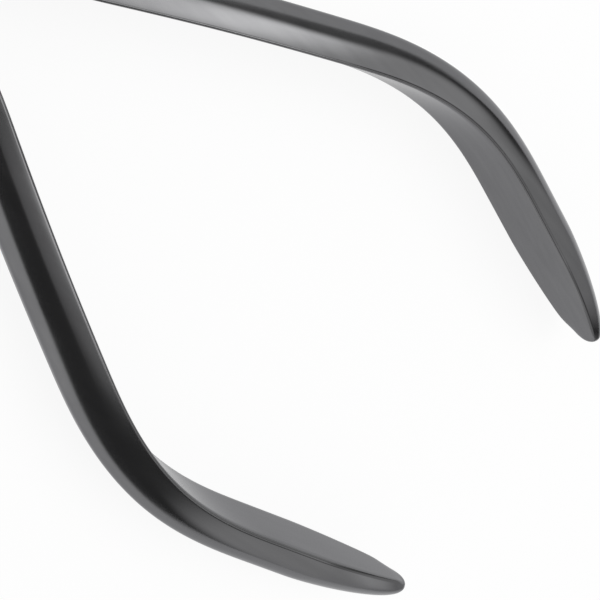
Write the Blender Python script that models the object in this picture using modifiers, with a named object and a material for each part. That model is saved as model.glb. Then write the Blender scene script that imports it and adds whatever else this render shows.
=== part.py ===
"""Wire bending pliers: two forged halves that cross at a lap joint and turn on one slotted screw.

The tool lies flat. Z is the pivot axis, +X points to the beaks, and the origin is on the pivot
axis in the plane of the joint's underside. Each half is drawn as it lies when the beaks are
shut, then turned about the pivot by half of REST_OPENING.
"""
import math

import bmesh
import bpy
from mathutils import Matrix, Vector

MM = 0.001

# Whole tool
REST_OPENING = math.radians(12.0)
RUN_GAP = 0.3 * MM
BEAK_GAP = 0.3 * MM

# Lap joint
JOINT_THICK = 10.4 * MM
LAP_RADIUS = 8.0 * MM
LAP_RIM_BEVEL = 0.4 * MM
SHOULDER_INSET = 1.4 * MM

# Pivot screw
SHAFT_RADIUS = 2.2 * MM
HEAD_RADIUS = 3.7 * MM
HEAD_HEIGHT = 2.0 * MM
HEAD_RECESS = 0.2 * MM
HEAD_BEVEL = 0.3 * MM
SLOT_WIDTH = 0.9 * MM
SLOT_DEPTH = 0.9 * MM

# Handles, from the joint to the tip
CROTCH_GAP = 0.9 * MM
CROTCH_BEND = 16.8 * MM
SHANK_ANGLE = math.radians(22.65)
SHANK_BOW = math.radians(1.4)
SHANK_LENGTH = 22.75 * MM
ELBOW_LENGTH = 31.25 * MM
TIP_ANGLE = math.radians(16.45)
TIP_LENGTH = 23.45 * MM
SHANK_WIDTH = 8.6 * MM
PADDLE_WIDTH = 10.1 * MM
SHANK_THICK = 3.45 * MM
PADDLE_THICK = 4.85 * MM
TIP_TAPER = 16.6 * MM
TIP_THINNING = 17.8 * MM
NOSE_THICK = 2.25 * MM
NOSE_WIDTH = 2.45 * MM
TIP_ROUND = 1.35 * MM
EDGE_FADE = 4.4 * MM
TIP_FULLNESS = 1.5
TIP_FLAT = 0.02 * MM

# Corners of half a handle section: share of the thickness, share of the half width, and how far
# the rounding reaches along the sides, near the joint and near the tip
SECTION = (
    (0.0, 1.0, 0.25 * MM, 0.6 * MM),
    (0.51, 0.84, 0.4 * MM, 0.9 * MM),
    (0.80, 0.54, 0.5 * MM, 1.0 * MM),
    (1.0, 0.22, 0.6 * MM, 1.0 * MM),
)
LONGEST_ROUNDING = 0.42  # of a side of the section
ROUND_END_POWER = 8  # how crisply the round end meets the sides

# Beaks
NECK_LENGTH = 9.5 * MM
NECK_WIDTH = 7.0 * MM
NECK_INSET = 0.2 * MM
BEAK_LENGTH = 11.5 * MM
BEAK_ROOT_WIDTH = 4.3 * MM
BEAK_ROOT_HEIGHT = 4.3 * MM
BEAK_TIP_WIDTH = 1.2 * MM
BEAK_TIP_HEIGHT = 1.2 * MM
BEAK_TIP_ROUND = 0.35 * MM
NECK_SQUARENESS = 7.0
ROUND_BEAK_SQUARENESS = 2.0
FLAT_BEAK_SQUARENESS = 9.0

# Distances along a handle, from inside the lap, at which its stretches start
BEND_START = LAP_RADIUS / 2
SHANK_START = BEND_START + CROTCH_BEND
ELBOW_START = SHANK_START + SHANK_LENGTH
TIP_START = ELBOW_START + ELBOW_LENGTH
HANDLE_END = TIP_START + TIP_LENGTH

# Fineness of the surfaces
BEND_RINGS = 10
SHANK_RINGS = 6
ELBOW_RINGS = 18
TIP_RINGS = 20
PATH_STEPS = 8
INNER_STEPS = 4
ROUND_STEPS = 96
BEAK_POINTS = 32

# Heights in the joint
MID_Z = JOINT_THICK / 2
LAP_TOP = MID_Z - RUN_GAP / 2
LAP_BOTTOM = MID_Z + RUN_GAP / 2
HOLE_RADIUS = SHAFT_RADIUS + RUN_GAP
HEAD_TOP = JOINT_THICK - HEAD_RECESS
HEAD_SEAT = HEAD_TOP - HEAD_HEIGHT


def clear_scene():
    for obj in list(bpy.data.objects):
        bpy.data.objects.remove(obj, do_unlink=True)


def new_collection(name):
    collection = bpy.data.collections.new(name)
    bpy.context.scene.collection.children.link(collection)
    return collection


def steel(name, color, roughness):
    material = bpy.data.materials.new(name)
    material.use_nodes = True
    shader = material.node_tree.nodes["Principled BSDF"]
    shader.inputs["Base Color"].default_value = (*color, 1.0)
    shader.inputs["Metallic"].default_value = 1.0
    shader.inputs["Roughness"].default_value = roughness
    return material


def smooth_step(x):
    x = min(max(x, 0.0), 1.0)
    return x * x * (3.0 - 2.0 * x)


def blend(a, b, x):
    return a + (b - a) * x


def spread(start, end, count):
    """Even stations from start up to, and without, end."""
    return [blend(start, end, i / count) for i in range(count)]


def object_from_bmesh(bm, name, collection):
    bmesh.ops.recalc_face_normals(bm, faces=bm.faces)
    mesh = bpy.data.meshes.new(name)
    bm.to_mesh(mesh)
    bm.free()
    mesh.shade_smooth()
    mesh.set_sharp_from_angle(angle=math.radians(28))
    obj = bpy.data.objects.new(name, mesh)
    collection.objects.link(obj)
    return obj


def loft(name, rings, collection):
    """A closed skin through rings of equal point counts, with flat ends."""
    bm = bmesh.new()
    loops = [[bm.verts.new(p) for p in ring] for ring in rings]
    for a, b in zip(loops, loops[1:]):
        for i in range(len(a)):
            j = (i + 1) % len(a)
            bm.faces.new((a[i], a[j], b[j], b[i]))
    bm.faces.new(loops[0])
    bm.faces.new(loops[-1])
    return object_from_bmesh(bm, name, collection)


def cylinder(name, radius, z_low, z_high, collection, bevel=0.0):
    bm = bmesh.new()
    place = Matrix.Translation((0, 0, (z_low + z_high) / 2))
    bmesh.ops.create_cone(
        bm, cap_ends=True, segments=ROUND_STEPS, radius1=radius, radius2=radius, depth=z_high - z_low, matrix=place
    )
    obj = object_from_bmesh(bm, name, collection)
    if bevel:
        rim = obj.modifiers.new("rim bevel", "BEVEL")
        rim.width = bevel
        rim.segments = 2
        rim.limit_method = "ANGLE"
        rim.angle_limit = math.radians(40)
    return obj


def boolean(obj, tool, operation):
    modifier = obj.modifiers.new(f"{operation.lower()} {tool.name}", "BOOLEAN")
    modifier.operation = operation
    modifier.object = tool
    modifier.solver = "EXACT"
    tool.hide_render = True
    tool.display_type = "WIRE"


def rounded_section(thick, width, along):
    """Handle section as (outward, up) points: flat inside, bevelled edges, rounded back."""
    half = [(n * thick, z * width / 2, blend(near, far, along)) for n, z, near, far in SECTION]
    corners = half + [(n, -z, r) for n, z, r in reversed(half)]
    points = []
    for i, (n, z, r) in enumerate(corners):
        corner = Vector((n, z))
        before = Vector(corners[i - 1][:2]) - corner
        after = Vector(corners[(i + 1) % len(corners)][:2]) - corner
        start = corner + before * min(r / before.length, LONGEST_ROUNDING)
        end = corner + after * min(r / after.length, LONGEST_ROUNDING)
        points += [start, (start + 2 * corner + end) / 4, end]
    last, first = points[-1], points[0]
    return points + [last.lerp(first, k / INNER_STEPS) for k in range(1, INNER_STEPS)]


def handle_stations():
    """Distances along the handle from inside the lap to the tip, close together where it curves."""
    stations = spread(0, BEND_START, 2)
    stations += spread(BEND_START, SHANK_START, BEND_RINGS)
    stations += spread(SHANK_START, ELBOW_START, SHANK_RINGS)
    stations += spread(ELBOW_START, TIP_START, ELBOW_RINGS)
    stations += [TIP_START + TIP_LENGTH * math.sin(math.pi / 2 * i / TIP_RINGS) for i in range(TIP_RINGS)]
    return stations + [HANDLE_END - TIP_FLAT]


def handle_heading(s):
    """Angle that the handle's inner face makes with the tool's axis at the distance s."""
    opening = SHANK_ANGLE * smooth_step((s - BEND_START) / CROTCH_BEND)
    bowed = min(max((s - BEND_START) / (ELBOW_START + ELBOW_LENGTH / 2 - BEND_START), 0.0), 1.0)
    opening += SHANK_BOW * math.sin(2 * math.pi * bowed)
    return opening - (SHANK_ANGLE + TIP_ANGLE) * smooth_step((s - ELBOW_START) / ELBOW_LENGTH)


def closing(to_tip, length, power):
    """1 until length before the tip, then down to 0 along a quarter of a superellipse."""
    return (1 - max(1 - to_tip / length, 0.0) ** power) ** (1 / power)


def handle_size(s):
    """Thickness across the tool and width along the pivot."""
    along = s / HANDLE_END
    to_tip = HANDLE_END - s
    root_thick = LAP_RADIUS - SHOULDER_INSET - CROTCH_GAP / 2
    thick = blend(SHANK_THICK, PADDLE_THICK, along)
    thick = blend(root_thick, thick, smooth_step((s - BEND_START / 2) / (CROTCH_BEND + BEND_START)))
    width = blend(SHANK_WIDTH, PADDLE_WIDTH, along)
    thick = blend(NOSE_THICK, thick, closing(to_tip, TIP_THINNING, TIP_FULLNESS))
    width = blend(NOSE_WIDTH, width, closing(to_tip, TIP_TAPER, TIP_FULLNESS))
    return thick, width


def round_end(n, z, to_tip):
    """Share that the handle's round end leaves of a section point, given in half sizes from the middle.

    The end cuts the section with an ellipse, which grows from nothing at the tip, reaches the sides
    at TIP_ROUND and clears the corners by EDGE_FADE.
    """
    reach = closing(to_tip, TIP_ROUND, 2.0) + (to_tip / EDGE_FADE) ** 2
    both = reach ** ROUND_END_POWER + math.hypot(n, z) ** ROUND_END_POWER
    return reach / both ** (1 / ROUND_END_POWER)


def handle_rings(side, turn):
    """Sections along one handle; side is the sign of Y on which it lies."""
    rings = []
    x = -LAP_RADIUS / 2
    y = CROTCH_GAP / 2
    before = 0.0
    for s in handle_stations():
        step = (s - before) / PATH_STEPS
        for i in range(PATH_STEPS):
            heading = handle_heading(before + step * (i + 0.5))
            x -= math.cos(heading) * step
            y += math.sin(heading) * step
        before = s
        heading = handle_heading(s)
        thick, width = handle_size(s)
        ring = []
        for n, z in rounded_section(thick, width, s / HANDLE_END):
            left = round_end(2 * n / thick - 1, 2 * z / width, HANDLE_END - s)
            n = blend(thick / 2, n, left)
            place = Vector((x + math.sin(heading) * n, side * (y + math.cos(heading) * n), MID_Z + z * left))
            ring.append(turn @ place)
        rings.append(ring)
    return rings


def beak_rings(side, squareness, turn):
    """Sections along the neck and beak; side is the sign of Y on which they lie."""
    neck_end = LAP_RADIUS + NECK_LENGTH
    beak_end = neck_end + BEAK_LENGTH
    inner = BEAK_GAP / 2
    stations = spread(LAP_RADIUS * 0.15, LAP_RADIUS, 2) + spread(LAP_RADIUS, neck_end, 12)
    stations += spread(neck_end, beak_end - BEAK_TIP_ROUND, 6)
    stations += [beak_end - BEAK_TIP_ROUND * (1 - k) for k in (0.0, 0.5, 0.8, 0.95)]
    rings = []
    for x in stations:
        fall = smooth_step((x - LAP_RADIUS) / NECK_LENGTH)
        out = max((x - neck_end) / BEAK_LENGTH, 0.0)
        width = blend(NECK_WIDTH, BEAK_ROOT_WIDTH, fall) + (BEAK_TIP_WIDTH - BEAK_ROOT_WIDTH) * out
        height = blend(JOINT_THICK - 2 * NECK_INSET, BEAK_ROOT_HEIGHT, fall) + (BEAK_TIP_HEIGHT - BEAK_ROOT_HEIGHT) * out
        power = 2 / blend(NECK_SQUARENESS, squareness, fall)
        k = min(max((x - beak_end + BEAK_TIP_ROUND) / BEAK_TIP_ROUND, 0.0), 1.0)
        cap = math.sqrt(1 - k * k)
        centre = inner + width / 2
        half_width = width / 2 - BEAK_TIP_ROUND * (1 - cap)
        half_height = height / 2 - BEAK_TIP_ROUND * (1 - cap)
        ring = []
        for i in range(BEAK_POINTS):
            angle = 2 * math.pi * (i + 0.5) / BEAK_POINTS
            across = math.copysign(abs(math.cos(angle)) ** power, math.cos(angle))
            up = math.copysign(abs(math.sin(angle)) ** power, math.sin(angle))
            ring.append(turn @ Vector((x, side * (centre + half_width * across), MID_Z + half_height * up)))
        rings.append(ring)
    return rings


def build_half(name, handle_side, squareness, low, material, part, tools):
    """One half: handle, lap disc and beak; low says whether its lap is the lower one."""
    turn = Matrix.Rotation(-handle_side * REST_OPENING / 2, 4, "Z")
    half = loft(name, handle_rings(handle_side, turn), part)
    beak = loft(f"{name} beak", beak_rings(-handle_side, squareness, turn), tools)
    over = 2 * RUN_GAP
    if low:
        lap = cylinder(f"{name} lap", LAP_RADIUS, 0, LAP_TOP + over, tools, LAP_RIM_BEVEL)
        swing = cylinder(f"{name} swing room", LAP_RADIUS + RUN_GAP, LAP_TOP, JOINT_THICK + over, tools)
    else:
        lap = cylinder(f"{name} lap", LAP_RADIUS, LAP_BOTTOM - over, JOINT_THICK, tools, LAP_RIM_BEVEL)
        swing = cylinder(f"{name} swing room", LAP_RADIUS + RUN_GAP, -over, LAP_BOTTOM, tools)
    boolean(half, beak, "UNION")
    boolean(half, lap, "UNION")
    boolean(half, swing, "DIFFERENCE")
    hole = cylinder(f"{name} screw hole", HOLE_RADIUS, -over, JOINT_THICK + over, tools)
    boolean(half, hole, "DIFFERENCE")
    if not low:
        seat = cylinder(f"{name} head seat", HEAD_RADIUS + RUN_GAP, HEAD_SEAT - RUN_GAP, JOINT_THICK + over, tools)
        boolean(half, seat, "DIFFERENCE")
    half.data.materials.append(material)
    return half


def build_screw(name, material, part, tools):
    """Slotted cylinder-head screw, turned from its profile; its end is flush with the underside."""
    profile = [
        (0, HEAD_TOP),
        (HEAD_RADIUS - HEAD_BEVEL, HEAD_TOP),
        (HEAD_RADIUS, HEAD_TOP - HEAD_BEVEL),
        (HEAD_RADIUS, HEAD_SEAT),
        (SHAFT_RADIUS, HEAD_SEAT),
        (SHAFT_RADIUS, HEAD_BEVEL),
        (SHAFT_RADIUS - HEAD_BEVEL, 0),
        (0, 0),
    ]
    bm = bmesh.new()
    line = [bm.verts.new((r, 0, z)) for r, z in profile]
    for a, b in zip(line, line[1:]):
        bm.edges.new((a, b))
    mesh = bpy.data.meshes.new(name)
    bm.to_mesh(mesh)
    bm.free()
    screw = bpy.data.objects.new(name, mesh)
    part.objects.link(screw)
    lathe = screw.modifiers.new("lathe", "SCREW")
    lathe.steps = ROUND_STEPS // 2
    lathe.render_steps = ROUND_STEPS // 2
    lathe.use_merge_vertices = True
    lathe.merge_threshold = 0.00001
    lathe.use_smooth_shade = False
    bm = bmesh.new()
    place = Matrix.Translation((0, 0, HEAD_TOP)) @ Matrix.Rotation(math.radians(35), 4, "Z")
    size = Matrix.Diagonal((HEAD_RADIUS * 2.4, SLOT_WIDTH, SLOT_DEPTH * 2, 1))
    bmesh.ops.create_cube(bm, size=1.0, matrix=place @ size)
    slot = object_from_bmesh(bm, f"{name} slot", tools)
    boolean(screw, slot, "DIFFERENCE")
    screw.data.materials.append(material)
    return screw


def main():
    clear_scene()
    part = new_collection("wire_bending_pliers")
    tools = new_collection("shaping_tools")
    body_steel = steel("satin_steel", (0.34, 0.34, 0.35), 0.32)
    other_steel = steel("satin_steel_other_half", (0.34, 0.34, 0.35), 0.32)
    screw_steel = steel("screw_steel", (0.42, 0.42, 0.43), 0.28)
    build_half("round_beak_half", -1, ROUND_BEAK_SQUARENESS, True, body_steel, part, tools)
    build_half("flat_beak_half", 1, FLAT_BEAK_SQUARENESS, False, other_steel, part, tools)
    build_screw("pivot_screw", screw_steel, part, tools)


main()
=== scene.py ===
"""Looks of the wire bending pliers: finely shaped satin steel halves and a turned screw.

The two handles are grown by one Geometry Nodes recipe from the sizes that the pliers are drawn to.
Each is then joined with its lap, neck and beak into one forging, as the real half is.
They lie on a white floor, in a dark surround whose soft patches of light only the steel mirrors.
"""
import math

import bmesh
import bpy
from mathutils import Matrix, Vector


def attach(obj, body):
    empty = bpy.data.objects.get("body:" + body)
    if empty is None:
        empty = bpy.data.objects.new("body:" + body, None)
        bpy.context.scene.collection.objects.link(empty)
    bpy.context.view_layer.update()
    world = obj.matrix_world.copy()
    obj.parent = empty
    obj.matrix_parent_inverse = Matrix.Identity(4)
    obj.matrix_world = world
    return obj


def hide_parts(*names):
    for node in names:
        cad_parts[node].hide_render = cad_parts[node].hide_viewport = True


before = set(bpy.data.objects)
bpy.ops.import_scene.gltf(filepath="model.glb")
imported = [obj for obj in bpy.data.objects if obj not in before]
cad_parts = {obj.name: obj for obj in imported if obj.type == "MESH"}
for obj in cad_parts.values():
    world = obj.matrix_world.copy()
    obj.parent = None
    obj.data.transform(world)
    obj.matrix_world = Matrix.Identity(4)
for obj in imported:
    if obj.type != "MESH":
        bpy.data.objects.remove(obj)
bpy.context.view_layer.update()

MM = 0.001

# Whole tool
REST_OPENING = math.radians(12.0)
RUN_GAP = 0.3 * MM
BEAK_GAP = 0.3 * MM

# Lap joint
JOINT_THICK = 10.4 * MM
LAP_RADIUS = 8.0 * MM
LAP_RIM_BEVEL = 0.4 * MM
SHOULDER_INSET = 1.4 * MM
MID_Z = JOINT_THICK / 2
LAP_TOP = MID_Z - RUN_GAP / 2
LAP_BOTTOM = MID_Z + RUN_GAP / 2

# Pivot screw
SHAFT_RADIUS = 2.2 * MM
HOLE_RADIUS = SHAFT_RADIUS + RUN_GAP
HEAD_RADIUS = 3.7 * MM
HEAD_HEIGHT = 2.0 * MM
HEAD_RECESS = 0.2 * MM
HEAD_BEVEL = 0.3 * MM
HEAD_CROWN = 0.08 * MM
SLOT_WIDTH = 0.9 * MM
SLOT_DEPTH = 0.9 * MM
SLOT_TURN = math.radians(35)
HEAD_TOP = JOINT_THICK - HEAD_RECESS
HEAD_SEAT = HEAD_TOP - HEAD_HEIGHT
SEAT_CHAMFER = 0.2 * MM

# Handles, from the joint to the tip
CROTCH_GAP = 0.9 * MM
CROTCH_BEND = 16.8 * MM
SHANK_ANGLE = math.radians(22.65)
SHANK_BOW = math.radians(1.4)
SHANK_LENGTH = 22.75 * MM
ELBOW_LENGTH = 31.25 * MM
TIP_ANGLE = math.radians(16.45)
TIP_LENGTH = 23.45 * MM
SHANK_WIDTH = 8.6 * MM
PADDLE_WIDTH = 10.1 * MM
SHANK_THICK = 3.45 * MM
PADDLE_THICK = 4.85 * MM
TIP_TAPER = 16.6 * MM
TIP_THINNING = 17.8 * MM
NOSE_THICK = 2.25 * MM
NOSE_WIDTH = 2.45 * MM
TIP_ROUND = 1.35 * MM
EDGE_FADE = 4.4 * MM
TIP_FULLNESS = 1.5
ROUND_END_POWER = 8.0

# Corners of half a handle section: share of the thickness, share of the half width, and how far
# the rounding reaches along the sides, near the joint and near the tip
SECTION = (
    (0.0, 1.0, 0.25 * MM, 0.6 * MM),
    (0.51, 0.84, 0.4 * MM, 0.9 * MM),
    (0.80, 0.54, 0.5 * MM, 1.0 * MM),
    (1.0, 0.22, 0.6 * MM, 1.0 * MM),
)

# Beaks
NECK_LENGTH = 9.5 * MM
NECK_WIDTH = 7.0 * MM
NECK_INSET = 0.2 * MM
BEAK_LENGTH = 11.5 * MM
BEAK_ROOT_SIZE = 4.3 * MM
BEAK_TIP_SIZE = 1.2 * MM
BEAK_TIP_ROUND = 0.35 * MM
NECK_SQUARENESS = 7.0
ROUND_BEAK_SQUARENESS = 2.0
FLAT_BEAK_SQUARENESS = 9.0

# Fineness of the surfaces
HANDLE_RINGS = 220
CORNER_STEPS = 5
INNER_STEPS = 15
ROUND_STEPS = 192
BEAK_POINTS = 96


def blend(a, b, x):
    return a + (b - a) * x


def smooth_step(x):
    x = min(max(x, 0.0), 1.0)
    return x * x * (3.0 - 2.0 * x)


class Recipe:
    """A Geometry Nodes tree in the making, with its arithmetic in short form."""

    def __init__(self, name):
        self.tree = bpy.data.node_groups.new(name, "GeometryNodeTree")
        self.values = {}
        self.socket("Geometry", "NodeSocketGeometry", "INPUT")
        self.socket("Geometry", "NodeSocketGeometry", "OUTPUT")
        self.start = self.tree.nodes.new("NodeGroupInput")
        self.end = self.tree.nodes.new("NodeGroupOutput")

    def socket(self, name, kind, way):
        return self.tree.interface.new_socket(name=name, in_out=way, socket_type=kind)

    def input(self, name, kind, value):
        """A named input, and the value that this object's modifier gives it."""
        socket = self.socket(name, kind, "INPUT")
        self.values[socket.identifier] = value
        return self.start.outputs[name]

    def node(self, kind, out=0, settings=None, **inputs):
        """Adds a node; inputs are sockets or plain values, named as in the editor."""
        node = self.tree.nodes.new(kind)
        for key, value in (settings or {}).items():
            setattr(node, key, value)
        for key, value in inputs.items():
            name = key.replace("_", " ")
            socket = next(s for s in node.inputs if s.name == name and s.enabled)
            self.plug(value, socket)
        if out is None:
            return node
        return next(s for s in node.outputs if s.name == out) if isinstance(out, str) else node.outputs[out]

    def plug(self, value, socket):
        if isinstance(value, bpy.types.NodeSocket):
            self.tree.links.new(value, socket)
        else:
            socket.default_value = value

    def math(self, operation, *values):
        node = self.tree.nodes.new("ShaderNodeMath")
        node.operation = operation
        for value, socket in zip(values, node.inputs):
            self.plug(value, socket)
        return node.outputs[0]

    def add(self, a, b):
        return self.math("ADD", a, b)

    def less(self, a, b):
        return self.math("SUBTRACT", a, b)

    def times(self, a, b):
        return self.math("MULTIPLY", a, b)

    def over(self, a, b):
        return self.math("DIVIDE", a, b)

    def rise(self, x, start, length):
        """0 before start, 1 after start + length, and a smooth step between."""
        node = self.tree.nodes.new("ShaderNodeMapRange")
        node.interpolation_type = "SMOOTHSTEP"
        self.plug(x, node.inputs["Value"])
        self.plug(start, node.inputs["From Min"])
        self.plug(self.add(start, length), node.inputs["From Max"])
        return node.outputs[0]

    def mix(self, a, b, x):
        return self.add(a, self.times(self.less(b, a), x))

    def closing(self, to_tip, length, power):
        """1 until length before the tip, then down to 0 along a quarter of a superellipse."""
        share = self.math("MAXIMUM", self.less(1.0, self.over(to_tip, length)), 0.0)
        left = self.math("MAXIMUM", self.less(1.0, self.math("POWER", share, power)), 0.0)
        return self.math("POWER", left, self.over(1.0, power))

    def xyz(self, x, y, z):
        return self.node("ShaderNodeCombineXYZ", X=x, Y=y, Z=z)

    def apply(self, obj):
        """Runs the recipe on obj and leaves the plain mesh that it makes."""
        self.tree.links.new(self.result, self.end.inputs[0])
        modifier = obj.modifiers.new(self.tree.name, "NODES")
        modifier.node_group = self.tree
        for identifier, value in self.values.items():
            modifier[identifier] = value
        bpy.context.view_layer.update()
        made = bpy.data.meshes.new_from_object(obj.evaluated_get(bpy.context.evaluated_depsgraph_get()))
        obj.modifiers.remove(modifier)
        obj.data = made
        return obj


def handle_recipe(side, sections, steel):
    """One handle, swept along its path; side is the sign of Y on which it lies."""
    r = Recipe("handle sweep")
    length = {}
    for name, value in (
        ("Lap radius", LAP_RADIUS), ("Crotch gap", CROTCH_GAP), ("Crotch bend", CROTCH_BEND),
        ("Shank length", SHANK_LENGTH), ("Elbow length", ELBOW_LENGTH), ("Tip length", TIP_LENGTH),
        ("Root thickness", LAP_RADIUS - SHOULDER_INSET - CROTCH_GAP / 2),
        ("Shank thickness", SHANK_THICK), ("Paddle thickness", PADDLE_THICK),
        ("Shank width", SHANK_WIDTH), ("Paddle width", PADDLE_WIDTH), ("Tip taper", TIP_TAPER),
        ("Tip thinning", TIP_THINNING), ("Nose thickness", NOSE_THICK), ("Nose width", NOSE_WIDTH),
        ("Tip round", TIP_ROUND),
        ("Tip fullness", TIP_FULLNESS), ("Edge fade", EDGE_FADE), ("Round end power", ROUND_END_POWER),
        ("Middle height", MID_Z),
        ("Shank angle", SHANK_ANGLE), ("Shank bow", SHANK_BOW), ("Tip angle", TIP_ANGLE),
        ("Opening", REST_OPENING), ("Side", float(side)),
    ):
        length[name] = r.input(name, "NodeSocketFloat", value)
    rings = r.input("Rings", "NodeSocketInt", HANDLE_RINGS)
    corner_steps = r.input("Corner steps", "NodeSocketInt", CORNER_STEPS)
    inner_steps = r.input("Inner face steps", "NodeSocketInt", INNER_STEPS)
    shank_section = r.input("Shank section", "NodeSocketObject", sections[0])
    paddle_section = r.input("Paddle section", "NodeSocketObject", sections[1])
    finish = r.input("Steel", "NodeSocketMaterial", steel)

    bend = r.over(length["Lap radius"], 2.0)
    elbow = r.add(r.add(bend, length["Crotch bend"]), length["Shank length"])
    end = r.add(r.add(elbow, length["Elbow length"]), length["Tip length"])

    def distance(ring):
        """Distance along the handle at a ring: close together at the tip, and ring 0 only closes the root."""
        share = r.over(r.math("MAXIMUM", r.less(ring, 1.0), 0.0), r.less(rings, 2.0))
        left = r.less(1.0, share)
        return r.times(end, r.less(1.0, r.times(left, left)))

    def heading(s):
        opening = r.times(length["Shank angle"], r.rise(s, bend, length["Crotch bend"]))
        bow_length = r.less(r.add(elbow, r.over(length["Elbow length"], 2.0)), bend)
        bowed = r.math("MINIMUM", r.math("MAXIMUM", r.over(r.less(s, bend), bow_length), 0.0), 1.0)
        opening = r.add(opening, r.times(length["Shank bow"], r.math("SINE", r.times(bowed, 2 * math.pi))))
        closing = r.times(
            r.add(length["Shank angle"], length["Tip angle"]), r.rise(s, elbow, length["Elbow length"]))
        return r.less(opening, closing)

    # The path of the inner face, as a chain of short steps
    index = r.node("GeometryNodeInputIndex")
    here = distance(index)
    before = distance(r.math("MAXIMUM", r.less(index, 1.0), 0.0))
    step = r.less(here, before)
    way = heading(r.over(r.add(here, before), 2.0))
    move = r.xyz(
        r.times(r.times(r.math("COSINE", way), step), -1.0),
        r.times(r.math("SINE", way), step), 0.0)
    walked = r.node("GeometryNodeAccumulateField", "Leading", {"data_type": "FLOAT_VECTOR"}, Value=move)
    start = r.xyz(r.times(bend, -1.0), r.over(length["Crotch gap"], 2.0), 0.0)
    place = r.node("ShaderNodeVectorMath", 0, {"operation": "ADD"})
    adder = place.node
    r.plug(walked, adder.inputs[0])
    r.plug(start, adder.inputs[1])
    line = r.node("GeometryNodeMeshLine", 0, Count=rings)
    path = r.node("GeometryNodeSetPosition", 0, Geometry=line, Position=place)

    # The sections near the joint and near the tip, with their corners rounded
    def rounded(section):
        outline = r.node("GeometryNodeObjectInfo", "Geometry", Object=section)
        fillet = r.node("GeometryNodeFilletCurve", None)
        if hasattr(fillet, "mode"):
            fillet.mode = "POLY"
        r.plug(outline, fillet.inputs["Curve"])
        r.plug(r.node("GeometryNodeInputRadius"), fillet.inputs["Radius"])
        r.plug(corner_steps, fillet.inputs["Count"])
        fillet.inputs["Limit Radius"].default_value = True
        soft = fillet.outputs[0]
        points = r.node(
            "GeometryNodeAttributeDomainSize", "Point Count", {"component": "CURVE"}, Geometry=soft)
        on_inner_face = r.math("GREATER_THAN", r.node("GeometryNodeInputIndex"), r.less(points, 1.5))
        return r.node("GeometryNodeSubdivideCurve", 0, Curve=soft, Cuts=r.times(inner_steps, on_inner_face))

    near_joint = rounded(shank_section)
    near_tip = rounded(paddle_section)
    count = r.node(
        "GeometryNodeAttributeDomainSize", "Point Count", {"component": "CURVE"}, Geometry=near_joint)

    # The skin: a grid of rings by section points, laid round the path
    grid = r.node("GeometryNodeMeshGrid", 0, Vertices_X=rings, Vertices_Y=r.add(count, 1.0))
    number = r.node("GeometryNodeInputIndex")
    across = r.add(count, 1.0)
    ring = r.math("FLOOR", r.over(r.add(number, 0.5), across))
    point = r.math("MODULO", r.less(number, r.times(ring, across)), count)
    position = r.node("GeometryNodeInputPosition")

    def sample(geometry, at):
        node = r.tree.nodes.new("GeometryNodeSampleIndex")
        node.data_type = "FLOAT_VECTOR"
        node.domain = "POINT"
        r.plug(geometry, node.inputs["Geometry"])
        r.plug(position, next(s for s in node.inputs if s.name == "Value" and s.enabled))
        r.plug(at, node.inputs["Index"])
        split = r.tree.nodes.new("ShaderNodeSeparateXYZ")
        r.tree.links.new(next(s for s in node.outputs if s.enabled), split.inputs[0])
        return split.outputs

    on_path = sample(path, ring)
    shank_point = sample(near_joint, point)
    paddle_point = sample(near_tip, point)
    s = distance(ring)
    to_tip = r.less(end, s)
    along = r.over(s, end)
    thick = r.mix(length["Shank thickness"], length["Paddle thickness"], along)
    thick = r.mix(length["Root thickness"], thick,
                  r.rise(s, r.over(bend, 2.0), r.add(length["Crotch bend"], r.over(bend, 2.0))))
    width = r.mix(length["Shank width"], length["Paddle width"], along)
    thick = r.mix(
        length["Nose thickness"], thick, r.closing(to_tip, length["Tip thinning"], length["Tip fullness"]))
    width = r.mix(
        length["Nose width"], width, r.closing(to_tip, length["Tip taper"], length["Tip fullness"]))
    is_open = r.math("GREATER_THAN", ring, 0.5)
    out = r.mix(
        r.over(shank_point[0], length["Shank thickness"]),
        r.over(paddle_point[0], length["Paddle thickness"]), along)
    up = r.mix(
        r.over(shank_point[1], length["Shank width"]),
        r.over(paddle_point[1], length["Paddle width"]), along)
    # The round end cuts the section with an ellipse, which grows from nothing at the tip
    power = length["Round end power"]
    cleared = r.math("POWER", r.over(to_tip, length["Edge fade"]), 2.0)
    reach = r.add(r.closing(to_tip, length["Tip round"], 2.0), cleared)
    off_middle = r.less(out, 0.5)
    away = r.times(2.0, r.math("SQRT", r.add(r.times(off_middle, off_middle), r.times(up, up))))
    both = r.add(r.math("POWER", reach, power), r.math("POWER", away, power))
    left = r.times(r.over(reach, r.math("POWER", both, r.over(1.0, power))), is_open)
    out = r.times(thick, r.add(0.5, r.times(off_middle, left)))
    up = r.times(r.times(width, up), left)
    turned = heading(s)
    skin = r.node(
        "GeometryNodeSetPosition", 0, Geometry=grid,
        Position=r.xyz(
            r.add(on_path[0], r.times(r.math("SINE", turned), out)),
            r.times(length["Side"], r.add(on_path[1], r.times(r.math("COSINE", turned), out))),
            r.add(length["Middle height"], up)))
    skin = r.node("GeometryNodeMergeByDistance", 0, Geometry=skin, Distance=5e-7)
    turn = r.times(r.times(length["Side"], length["Opening"]), -0.5)
    skin = r.node("GeometryNodeTransform", 0, Geometry=skin, Rotation=r.xyz(0.0, 0.0, turn))
    skin = r.node("GeometryNodeRealizeInstances", 0, Geometry=skin)
    r.result = r.node("GeometryNodeSetMaterial", 0, Geometry=skin, Material=finish)
    return r


def put(name, mesh):
    obj = bpy.data.objects.new(name, mesh)
    bpy.context.scene.collection.objects.link(obj)
    return obj


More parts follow.
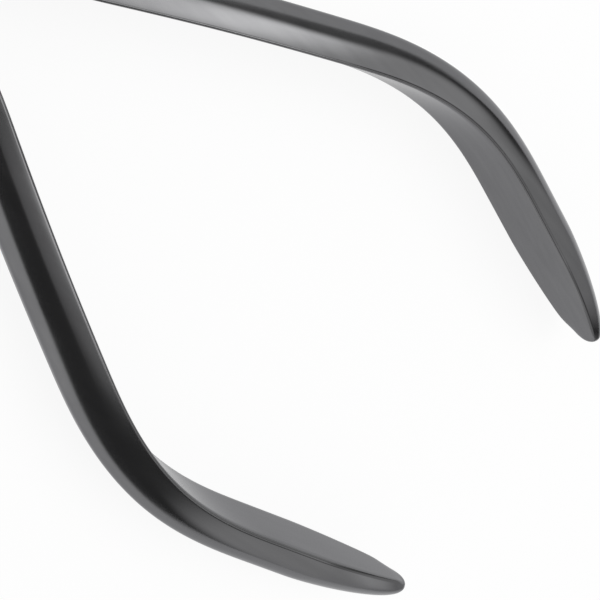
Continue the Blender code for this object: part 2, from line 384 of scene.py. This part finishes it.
def put_bmesh(name, bm):
    bmesh.ops.recalc_face_normals(bm, faces=bm.faces)
    mesh = bpy.data.meshes.new(name)
    bm.to_mesh(mesh)
    bm.free()
    return put(name, mesh)


def section_outline(name, thick, width, reach):
    """Handle section as a closed curve; each point's radius is that of the arc which rounds its corner."""
    half = [(corner[0] * thick, corner[1] * width / 2, corner[reach]) for corner in SECTION]
    corners = half + [(n, -z, r) for n, z, r in reversed(half)]
    curve = bpy.data.curves.new(name, "CURVE")
    curve.dimensions = "3D"
    spline = curve.splines.new("POLY")
    spline.points.add(len(corners) - 1)
    spline.use_cyclic_u = True
    for i, (n, z, rounding) in enumerate(corners):
        into = Vector((n, z)) - Vector(corners[i - 1][:2])
        onward = Vector(corners[(i + 1) % len(corners)][:2]) - Vector((n, z))
        spline.points[i].co = (n, z, 0, 1)
        spline.points[i].radius = rounding / math.tan(into.angle(onward) / 2)
    return put(name, curve)


def loft(name, rings, open_start=False):
    """A skin through rings of equal point counts, with flat ends."""
    bm = bmesh.new()
    loops = [[bm.verts.new(p) for p in ring] for ring in rings]
    for a, b in zip(loops, loops[1:]):
        for i in range(len(a)):
            j = (i + 1) % len(a)
            bm.faces.new((a[i], a[j], b[j], b[i]))
    if not open_start:
        bm.faces.new(loops[0])
    bm.faces.new(loops[-1])
    return put_bmesh(name, bm)


def turned(name, profile):
    """A closed skin turned round Z; the profile of radius and height starts and ends on the axis."""
    bm = bmesh.new()
    ends = [bm.verts.new((0, 0, profile[i][1])) for i in (0, -1)]
    angles = [2 * math.pi * i / ROUND_STEPS for i in range(ROUND_STEPS)]
    loops = [
        [bm.verts.new((radius * math.cos(a), radius * math.sin(a), z)) for a in angles]
        for radius, z in profile[1:-1]]
    for i in range(ROUND_STEPS):
        j = (i + 1) % ROUND_STEPS
        bm.faces.new((ends[0], loops[0][i], loops[0][j]))
        for a, b in zip(loops, loops[1:]):
            bm.faces.new((a[i], b[i], b[j], a[j]))
        bm.faces.new((ends[1], loops[-1][j], loops[-1][i]))
    return put_bmesh(name, bm)


def cylinder(name, radius, z_low, z_high, bevel=0.0, top_radius=None):
    bm = bmesh.new()
    place = Matrix.Translation((0, 0, (z_low + z_high) / 2))
    bmesh.ops.create_cone(
        bm, cap_ends=True, segments=ROUND_STEPS, radius1=radius,
        radius2=radius if top_radius is None else top_radius, depth=z_high - z_low, matrix=place)
    if bevel:
        rims = [e for e in bm.edges if abs(e.verts[0].co.z - e.verts[1].co.z) < 1e-7]
        bmesh.ops.bevel(bm, geom=rims, offset=bevel, segments=5, profile=0.5, affect="EDGES")
    return put_bmesh(name, bm)


def beak_rings(side, squareness, turn):
    """Sections along the neck and beak; side is the sign of Y on which they lie."""
    neck_end = LAP_RADIUS + NECK_LENGTH
    beak_end = neck_end + BEAK_LENGTH
    stations = [LAP_RADIUS * 0.15, LAP_RADIUS * 0.6]
    stations += [blend(LAP_RADIUS, neck_end, i / 40) for i in range(40)]
    stations += [blend(neck_end, beak_end - BEAK_TIP_ROUND, i / 12) for i in range(12)]
    stations += [beak_end - BEAK_TIP_ROUND * (1 - math.sin(math.pi / 2 * k / 8)) for k in range(8)]
    rings = []
    for x in stations:
        fall = smooth_step((x - LAP_RADIUS) / NECK_LENGTH)
        taper = (BEAK_TIP_SIZE - BEAK_ROOT_SIZE) * max((x - neck_end) / BEAK_LENGTH, 0.0)
        width = blend(NECK_WIDTH, BEAK_ROOT_SIZE, fall) + taper
        height = blend(JOINT_THICK - 2 * NECK_INSET, BEAK_ROOT_SIZE, fall) + taper
        power = 2 / blend(NECK_SQUARENESS, squareness, fall)
        k = min(max((x - beak_end + BEAK_TIP_ROUND) / BEAK_TIP_ROUND, 0.0), 1.0)
        pulled_in = BEAK_TIP_ROUND * (1 - math.sqrt(1 - k * k))
        ring = []
        for i in range(BEAK_POINTS):
            angle = 2 * math.pi * (i + 0.5) / BEAK_POINTS
            across = math.copysign(abs(math.cos(angle)) ** power, math.cos(angle))
            up = math.copysign(abs(math.sin(angle)) ** power, math.sin(angle))
            y = BEAK_GAP / 2 + width / 2 + (width / 2 - pulled_in) * across
            ring.append(turn @ Vector((x, side * y, MID_Z + (height / 2 - pulled_in) * up)))
        rings.append(ring)
    return rings


def combine(obj, tool, operation):
    """Joins tool to obj or cuts it out, and removes it."""
    modifier = obj.modifiers.new(operation.lower(), "BOOLEAN")
    modifier.operation = operation
    modifier.object = tool
    modifier.solver = "EXACT"
    bpy.context.view_layer.update()
    made = bpy.data.meshes.new_from_object(obj.evaluated_get(bpy.context.evaluated_depsgraph_get()))
    obj.modifiers.remove(modifier)
    obj.data = made
    bpy.data.objects.remove(tool)


def shade(obj, angle=28):
    obj.data.shade_smooth()
    obj.data.set_sharp_from_angle(angle=math.radians(angle))


def build_half(name, node, body, side, squareness, low, sections, steel):
    """One forged half: handle, lap, neck and beak in one skin."""
    turn = Matrix.Rotation(-side * REST_OPENING / 2, 4, "Z")
    half = put(name, bpy.data.meshes.new(name))
    handle_recipe(side, sections, steel).apply(half)
    bm = bmesh.new()
    bm.from_mesh(half.data)
    bmesh.ops.recalc_face_normals(bm, faces=bm.faces)
    bm.to_mesh(half.data)
    bm.free()
    over = 2 * RUN_GAP
    combine(half, loft("beak", beak_rings(-side, squareness, turn)), "UNION")
    if low:
        combine(half, cylinder("lap", LAP_RADIUS, 0, LAP_TOP + over, LAP_RIM_BEVEL), "UNION")
        combine(half, cylinder("swing", LAP_RADIUS + RUN_GAP, LAP_TOP, JOINT_THICK + over), "DIFFERENCE")
    else:
        combine(half, cylinder("lap", LAP_RADIUS, LAP_BOTTOM - over, JOINT_THICK, LAP_RIM_BEVEL), "UNION")
        combine(half, cylinder("swing", LAP_RADIUS + RUN_GAP, -over, LAP_BOTTOM), "DIFFERENCE")
    combine(half, cylinder("hole", HOLE_RADIUS, -over, JOINT_THICK + over), "DIFFERENCE")
    if not low:
        seat = HEAD_RADIUS + RUN_GAP
        combine(half, cylinder("seat", seat, HEAD_SEAT - RUN_GAP, JOINT_THICK + over), "DIFFERENCE")
        flare = cylinder("flare", seat - over, JOINT_THICK - SEAT_CHAMFER - over, JOINT_THICK + over,
                         top_radius=seat + SEAT_CHAMFER + over)
        combine(half, flare, "DIFFERENCE")
    shade(half)
    half.data.materials.clear()
    half.data.materials.append(steel)
    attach(half, body)
    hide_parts(node)


def build_screw(steel):
    """Turned screw with a slotted head; the far end is ground flush with the lower lap."""
    soft = HEAD_BEVEL / 3
    profile = [(0, HEAD_TOP + HEAD_CROWN)]
    crown = 8
    flat = HEAD_RADIUS - HEAD_BEVEL
    for i in range(1, crown + 1):
        share = i / crown
        profile.append((flat * share, HEAD_TOP + HEAD_CROWN * (1 - share ** 2)))
    for i in range(1, 6):
        angle = math.pi / 2 * i / 5
        profile.append((flat + HEAD_BEVEL * math.sin(angle), HEAD_TOP - HEAD_BEVEL * (1 - math.cos(angle))))
    profile += [
        (HEAD_RADIUS, HEAD_SEAT + soft), (HEAD_RADIUS - soft, HEAD_SEAT), (SHAFT_RADIUS, HEAD_SEAT),
        (SHAFT_RADIUS, HEAD_BEVEL), (SHAFT_RADIUS - HEAD_BEVEL, 0), (0, 0),
    ]
    screw = turned("turned_pivot_screw", profile)
    bm = bmesh.new()
    place = Matrix.Translation((0, 0, HEAD_TOP)) @ Matrix.Rotation(SLOT_TURN, 4, "Z")
    size = Matrix.Diagonal((HEAD_RADIUS * 2.4, SLOT_WIDTH, SLOT_DEPTH * 2, 1))
    bmesh.ops.create_cube(bm, size=1.0, matrix=place @ size)
    combine(screw, put_bmesh("slot", bm), "DIFFERENCE")
    shade(screw)
    screw.data.materials.append(steel)
    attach(screw, "lower_half")
    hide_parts("pivot_screw")


class Finish:
    """A material in the making."""

    def __init__(self, name):
        self.material = bpy.data.materials.new(name)
        self.material.use_nodes = True
        self.nodes = self.material.node_tree.nodes
        self.links = self.material.node_tree.links
        self.shader = self.nodes.get("Principled BSDF")
        self.output = next(n for n in self.nodes if n.type == "OUTPUT_MATERIAL")

    def node(self, kind, out=0, settings=None, **inputs):
        node = self.nodes.new(kind)
        for key, value in (settings or {}).items():
            setattr(node, key, value)
        for key, value in inputs.items():
            self.plug(value, node.inputs[key.replace("_", " ")])
        return node.outputs[out]

    def plug(self, value, socket):
        if isinstance(value, bpy.types.NodeSocket):
            self.links.new(value, socket)
        else:
            socket.default_value = value

    def math(self, operation, *values, clamp=False):
        node = self.nodes.new("ShaderNodeMath")
        node.operation = operation
        node.use_clamp = clamp
        for value, socket in zip(values, node.inputs):
            self.plug(value, socket)
        return node.outputs[0]

    def noise(self, at, scale, detail, stretch=(1, 1, 1)):
        place = self.node("ShaderNodeMapping", 0, Vector=at, Scale=stretch)
        return self.node("ShaderNodeTexNoise", 0, Vector=place, Scale=scale, Detail=detail)

    def ramp(self, value, *stops):
        node = self.nodes.new("ShaderNodeValToRGB")
        node.color_ramp.elements[0].position = stops[0][0]
        node.color_ramp.elements[0].color = stops[0][1]
        node.color_ramp.elements[1].position = stops[-1][0]
        node.color_ramp.elements[1].color = stops[-1][1]
        for position, color in stops[1:-1]:
            node.color_ramp.elements.new(position).color = color
        self.plug(value, node.inputs[0])
        return node.outputs[0]

    def range(self, value, low, high):
        return self.node("ShaderNodeMapRange", 0, Value=value, To_Min=low, To_Max=high)

    def bump(self, height, distance, strength, normal=None):
        node = self.nodes.new("ShaderNodeBump")
        self.plug(height, node.inputs["Height"])
        node.inputs["Distance"].default_value = distance
        node.inputs["Strength"].default_value = strength
        if normal is not None:
            self.links.new(normal, node.inputs["Normal"])
        return node.outputs[0]


# Satin steel: darkest and lightest colour, tint where it is seen at a grazing angle, least roughness
STEEL_DARK = (0.16, 0.16, 0.164, 1)
STEEL_LIGHT = (0.20, 0.20, 0.204, 1)
STEEL_EDGE_TINT = (0.58, 0.58, 0.59, 1)
STEEL_ROUGHNESS = 0.09


def satin_steel():
    """Steel brushed along the tool and then lightly blasted."""
    f = Finish("satin_steel")
    at = f.node("ShaderNodeTexCoord", "Object")
    brushing = f.noise(at, 5200, 3, (0.06, 1, 1))
    streaks = f.noise(at, 900, 4, (0.05, 1, 1))
    blast = f.noise(at, 9000, 2)
    clouds = f.noise(at, 70, 3)
    tone = f.math("ADD", f.math("MULTIPLY", streaks, 0.5), f.math("MULTIPLY", clouds, 0.5))
    color = f.ramp(tone, (0.30, STEEL_DARK), (0.70, STEEL_LIGHT))
    rough = f.math("ADD", f.math("MULTIPLY", clouds, 0.10), f.math("MULTIPLY", streaks, 0.06))
    f.plug(color, f.shader.inputs["Base Color"])
    f.plug(f.math("ADD", rough, STEEL_ROUGHNESS), f.shader.inputs["Roughness"])
    f.shader.inputs["Metallic"].default_value = 1.0
    f.shader.inputs["Specular Tint"].default_value = STEEL_EDGE_TINT
    normal = f.bump(brushing, 0.0000012, 0.5)
    normal = f.bump(blast, 0.0000010, 0.4, normal)
    f.plug(normal, f.shader.inputs["Normal"])
    return f.material


def turned_steel():
    """Steel with the fine rings that a lathe leaves."""
    f = Finish("screw_steel")
    at = f.node("ShaderNodeTexCoord", "Object")
    split = f.nodes.new("ShaderNodeSeparateXYZ")
    f.plug(at, split.inputs[0])
    x, y, z = split.outputs
    radius = f.math("SQRT", f.math("ADD", f.math("MULTIPLY", x, x), f.math("MULTIPLY", y, y)))
    rings = f.node("ShaderNodeCombineXYZ", 0, X=radius, Y=z, Z=0.0)
    grooves = f.noise(rings, 16000, 2)
    clouds = f.noise(at, 500, 3)
    color = f.ramp(clouds, (0.3, (0.36, 0.36, 0.37, 1)), (0.7, (0.44, 0.44, 0.45, 1)))
    f.plug(color, f.shader.inputs["Base Color"])
    f.plug(f.range(clouds, 0.20, 0.34), f.shader.inputs["Roughness"])
    f.shader.inputs["Metallic"].default_value = 1.0
    f.plug(f.bump(grooves, 0.000002, 0.6), f.shader.inputs["Normal"])
    return f.material


# Where a patch of light starts and ends to fade, in shares of its reach
PATCH_FADE = (0.65, 1.3)


def glow(f, dark, patches):
    """Brightness on the surround: dark, with soft-edged ellipsoids of light added."""
    at = f.node("ShaderNodeTexCoord", "Object")
    level = dark
    for centre, reach, bright in patches:
        away = f.node(
            "ShaderNodeMapping", 0, {"vector_type": "TEXTURE"}, Vector=at,
            Location=[c * MM for c in centre], Scale=[c * MM for c in reach])
        far = f.nodes.new("ShaderNodeVectorMath")
        far.operation = "LENGTH"
        f.plug(away, far.inputs[0])
        patch = f.node(
            "ShaderNodeMapRange", 0, {"interpolation_type": "SMOOTHSTEP"}, Value=far.outputs["Value"],
            From_Min=PATCH_FADE[0], From_Max=PATCH_FADE[1], To_Min=bright, To_Max=0.0)
        level = f.math("ADD", level, patch)
    return level


# Floor: its colour, half its side, how far it lies below the tool, and how much of it is shown plain white
FLOOR_COLOR = (0.95, 0.95, 0.95, 1)
FLOOR_HALF_SIDE = 3.0
FLOOR_DROP = 0.02 * MM
FLOOR_WHITE_SHARE = 0.9


def build_floor():
    """Pale floor, white to the camera and in the steel alike, which keeps the tool's soft shadow."""
    f = Finish("floor")
    f.shader.inputs["Base Color"].default_value = FLOOR_COLOR
    f.shader.inputs["Roughness"].default_value = 0.9
    f.shader.inputs["Specular IOR Level"].default_value = 0.0
    path = f.nodes.new("ShaderNodeLightPath")
    mirrored = f.math("MAXIMUM", path.outputs["Is Glossy Ray"], path.outputs["Is Transmission Ray"])
    seen = f.math("MAXIMUM", path.outputs["Is Camera Ray"], mirrored)
    white = f.node("ShaderNodeEmission", 0, Color=(1, 1, 1, 1), Strength=1.0)
    share = f.math("MULTIPLY", seen, FLOOR_WHITE_SHARE)
    mixed = f.nodes.new("ShaderNodeMixShader")
    f.plug(share, mixed.inputs[0])
    f.links.new(f.shader.outputs[0], mixed.inputs[1])
    f.links.new(white, mixed.inputs[2])
    f.links.new(mixed.outputs[0], f.output.inputs["Surface"])
    bm = bmesh.new()
    bmesh.ops.create_grid(bm, x_segments=1, y_segments=1, size=FLOOR_HALF_SIDE)
    floor = put_bmesh("floor", bm)
    floor.data.transform(Matrix.Translation((0, 0, -FLOOR_DROP)))
    floor.data.materials.append(f.material)


# World: strength where it is seen, and where it only lights
WORLD_SHOWN = 1.0
WORLD_LIGHT = 0.55


def build_world():
    world = bpy.data.worlds.new("studio")
    bpy.context.scene.world = world
    world.use_nodes = True
    nodes, links = world.node_tree.nodes, world.node_tree.links
    background = nodes["Background"]
    background.inputs["Color"].default_value = (1, 1, 1, 1)
    path = nodes.new("ShaderNodeLightPath")
    shown = nodes.new("ShaderNodeMath")
    shown.operation = "MAXIMUM"
    links.new(path.outputs["Is Camera Ray"], shown.inputs[0])
    links.new(path.outputs["Is Glossy Ray"], shown.inputs[1])
    clear = nodes.new("ShaderNodeMath")
    clear.operation = "MAXIMUM"
    links.new(shown.outputs[0], clear.inputs[0])
    links.new(path.outputs["Is Transmission Ray"], clear.inputs[1])
    level = nodes.new("ShaderNodeMapRange")
    links.new(clear.outputs[0], level.inputs["Value"])
    level.inputs["To Min"].default_value = WORLD_LIGHT
    level.inputs["To Max"].default_value = WORLD_SHOWN
    links.new(level.outputs[0], background.inputs["Strength"])


# Surround of the tool: middle, half lengths, height, gap above the floor, and how full its shape is
TENT_CENTRE = Vector((-35 * MM, 0, 0))
TENT_HALF_X = 105 * MM
TENT_HALF_Y = 58 * MM
TENT_HEIGHT = 120 * MM
TENT_FLOOR_GAP = 0.2 * MM
TENT_ROOF_FULLNESS = 0.45
TENT_SIDE_FULLNESS = 0.8
TENT_LAYERS = 24
TENT_SIDES = 96

# Its brightness away from the patches, and the factor that raises it all
TENT_DARK = 0.05
TENT_POWER = 1.7

# Light patches on the surround: centre and reach in mm, brightness
TENT_LIGHTS = (
    ((-22, -58, 48), (30, 30, 34), 1.1),
    ((-62, -56, 46), (32, 24, 34), 0.5),
    ((-110, -42, 28), (22, 24, 36), 0.34),
    ((-32, -58, 0), (24, 20, 14), 0.08),
    ((-55, -45, 92), (30, 16, 22), 0.6),
    ((-138, 12, 18), (16, 34, 28), 0.3),
    ((-114, 44, 22), (34, 18, 28), 0.42),
    ((-48, 52, 80), (30, 16, 24), 0.2),
    ((-62, 38, 102), (30, 20, 20), 0.95),
    ((-103, -4, 108), (18, 24, 12), 1.4),
    ((-122, 0, 80), (22, 34, 24), 0.28),
    ((-131, 0, 58), (14, 42, 18), 0.17),
    ((-30, 0, 120), (76, 44, 14), 0.8),
    ((60, 0, 60), (40, 60, 40), 0.9),
    ((32, 56, 50), (34, 30, 60), 0.9),
    ((32, -56, 50), (30, 30, 60), 0.6),
)


def build_tent():
    """Dark studio surround with soft light patches, seen only in the steel's reflections."""
    rings = []
    for k in range(TENT_LAYERS):
        rise = math.pi / 2 * k / TENT_LAYERS
        wide = math.cos(rise) ** TENT_ROOF_FULLNESS
        rings.append([
            TENT_CENTRE + Vector((
                TENT_HALF_X * wide * math.copysign(abs(math.cos(a)) ** TENT_SIDE_FULLNESS, math.cos(a)),
                TENT_HALF_Y * wide * math.copysign(abs(math.sin(a)) ** TENT_SIDE_FULLNESS, math.sin(a)),
                TENT_FLOOR_GAP + TENT_HEIGHT * math.sin(rise)))
            for a in (2 * math.pi * (i + 0.5) / TENT_SIDES for i in range(TENT_SIDES))])
    tent = loft("tent", rings, open_start=True)
    tent.data.shade_smooth()
    f = Finish("tent")
    level = f.math("MULTIPLY", glow(f, TENT_DARK, TENT_LIGHTS), TENT_POWER)
    shining = f.node("ShaderNodeEmission", 0, Color=(1, 1, 1, 1), Strength=level)
    f.links.new(shining, f.output.inputs["Surface"])
    tent.data.materials.append(f.material)
    tent.visible_camera = False
    tent.visible_diffuse = False
    tent.visible_transmission = False
    tent.visible_shadow = False


# Soft lamp above the tool
LAMP_PLACE = Vector((-0.10, -0.25, 0.60))
LAMP_TARGET = Vector((-35 * MM, 0, 0))
LAMP_SIDE = 0.5
LAMP_WATTS = 2.2


def build_lamp():
    """Soft light from above, which lights the floor and draws the tool's soft shadow."""
    light = bpy.data.lights.new("above", "AREA")
    light.shape = "SQUARE"
    light.size = LAMP_SIDE
    light.energy = LAMP_WATTS
    lamp = put("above", light)
    lamp.location = LAMP_PLACE
    lamp.rotation_euler = (LAMP_TARGET - LAMP_PLACE).to_track_quat("-Z", "Y").to_euler()
    lamp.visible_glossy = False


# Camera of the photograph, in the tool's frame
CAMERA_PLACE = Vector((8.94, 8.74, 99.57)) * MM
CAMERA_FORWARD = Vector((-0.5842, -0.064, -0.8091))
CAMERA_UP = Vector((0.5373, -0.7777, -0.3264))
CAMERA_LENS = 69


def build_camera():
    data = bpy.data.cameras.new("camera")
    data.lens = CAMERA_LENS
    data.sensor_width = 36
    data.clip_start = 0.005
    data.clip_end = 20
    camera = put("camera", data)
    back = -CAMERA_FORWARD.normalized()
    right = CAMERA_UP.cross(back).normalized()
    up = back.cross(right)
    turn = Matrix((right, up, back)).transposed().to_4x4()
    camera.matrix_world = Matrix.Translation(CAMERA_PLACE) @ turn
    bpy.context.scene.camera = camera


def main():
    bpy.context.scene.view_settings.view_transform = "Standard"
    build_camera()
    sections = (
        section_outline("shank section", SHANK_THICK, SHANK_WIDTH, 2),
        section_outline("paddle section", PADDLE_THICK, PADDLE_WIDTH, 3))
    steel = satin_steel()
    build_half(
        "forged_round_beak_half", "round_beak_half", "lower_half", side=-1,
        squareness=ROUND_BEAK_SQUARENESS, low=True, sections=sections, steel=steel)
    build_half(
        "forged_flat_beak_half", "flat_beak_half", "upper_half", side=1,
        squareness=FLAT_BEAK_SQUARENESS, low=False, sections=sections, steel=steel)
    for section in sections:
        bpy.data.objects.remove(section)
    build_screw(turned_steel())
    build_floor()
    build_world()
    build_tent()
    build_lamp()


main()
